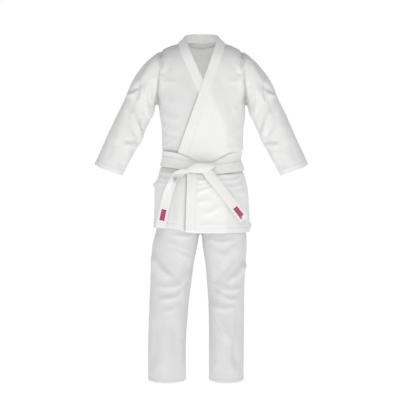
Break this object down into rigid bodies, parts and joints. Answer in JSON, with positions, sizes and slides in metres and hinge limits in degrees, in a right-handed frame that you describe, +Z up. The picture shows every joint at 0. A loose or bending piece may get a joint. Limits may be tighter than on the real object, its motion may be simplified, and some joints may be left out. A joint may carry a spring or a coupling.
{
  "type": "martial arts uniform",
  "caption": "White martial arts uniform: wrap-over jacket tied with a flat belt, over straight elastic-waist trousers, filled out as if worn.",
  "frame": {"origin": "at the middle of the shoulders, level with where the collar leaves them, halfway between chest and back", "axes": "+Z up, -Y the way the wearer faces, +X the wearer's left"},
  "size_m": [0.8636, 0.2865, 1.416],
  "materials": {
    "jacket_canvas": "matte",
    "trouser_cotton": "matte",
    "belt_cotton": "matte",
    "label_red": "satin",
    "tag_grey": "satin",
    "elastic": "matte"
  },
  "bodies": {
    "jacket": {"left_back_panel": "jacket_canvas", "right_back_panel": "jacket_canvas", "left_front_panel": "jacket_canvas", "right_front_panel": "jacket_canvas", "shoulder_lining": "jacket_canvas", "back_collar": "jacket_canvas", "left_lapel": "jacket_canvas", "right_lapel": "jacket_canvas", "left_sleeve_head": "jacket_canvas", "right_sleeve_head": "jacket_canvas", "left_vent_patch": "jacket_canvas", "right_vent_patch": "jacket_canvas", "belt_upper_wrap": "belt_cotton", "belt_lower_wrap": "belt_cotton", "belt_knot": "belt_cotton"},
    "left_sleeve": {"left_sleeve": "jacket_canvas", "left_cuff_hem": "jacket_canvas"},
    "right_sleeve": {"right_sleeve": "jacket_canvas", "right_cuff_hem": "jacket_canvas"},
    "front_skirt": {"left_front_skirt": "jacket_canvas", "left_front_skirt_hem": "jacket_canvas", "left_skirt_lapel": "jacket_canvas", "right_front_skirt": "jacket_canvas", "right_front_skirt_hem": "jacket_canvas", "right_skirt_lapel": "jacket_canvas"},
    "back_skirt": {"back_skirt": "jacket_canvas", "back_skirt_hem": "jacket_canvas"},
    "left_belt_end": {"left_belt_end": "belt_cotton", "left_belt_label": "label_red", "belt_size_tab": "tag_grey"},
    "right_belt_end": {"right_belt_end": "belt_cotton", "right_belt_label": "label_red"},
    "trousers": {"trousers_left_seat": "trouser_cotton", "trousers_right_seat": "trouser_cotton", "waistband": "trouser_cotton", "waistband_elastic": "elastic", "crotch_gusset": "trouser_cotton"},
    "left_leg": {"left_leg": "trouser_cotton", "left_leg_hem": "trouser_cotton"},
    "right_leg": {"right_leg": "trouser_cotton", "right_leg_hem": "trouser_cotton"}
  },
  "joints": [
    {"name": "left_arm_raise", "type": "hinge", "parent": "jacket", "child": "left_sleeve", "pos_m": [0.171, 0, -0.114], "axis": [0, -1, 0], "range_deg": [0, 60]},
    {"name": "right_arm_raise", "type": "hinge", "parent": "jacket", "child": "right_sleeve", "pos_m": [-0.171, 0, -0.114], "axis": [0, 1, 0], "range_deg": [0, 60]},
    {"name": "front_skirt_lift", "type": "hinge", "parent": "jacket", "child": "front_skirt", "pos_m": [0, -0.13, -0.505], "axis": [-1, 0, 0], "range_deg": [0, 30]},
    {"name": "back_skirt_lift", "type": "hinge", "parent": "jacket", "child": "back_skirt", "pos_m": [0, 0.105, -0.505], "axis": [1, 0, 0], "range_deg": [0, 30]},
    {"name": "left_belt_end_swing", "type": "hinge", "parent": "front_skirt", "child": "left_belt_end", "pos_m": [0.03, -0.148, -0.536], "axis": [-1, 0, 0], "range_deg": [0, 60]},
    {"name": "right_belt_end_swing", "type": "hinge", "parent": "front_skirt", "child": "right_belt_end", "pos_m": [-0.052, -0.148, -0.534], "axis": [-1, 0, 0], "range_deg": [0, 60]},
    {"name": "trousers_slide", "type": "slide", "parent": "jacket", "child": "trousers", "axis": [0, 0, -1], "range_m": [0, 0.45]},
    {"name": "left_leg_swing", "type": "hinge", "parent": "trousers", "child": "left_leg", "pos_m": [0.092, 0, -0.76], "axis": [-1, 0, 0], "range_deg": [-15, 30]},
    {"name": "right_leg_swing", "type": "hinge", "parent": "trousers", "child": "right_leg", "pos_m": [-0.093, 0, -0.76], "axis": [-1, 0, 0], "range_deg": [-15, 30]}
  ]
}
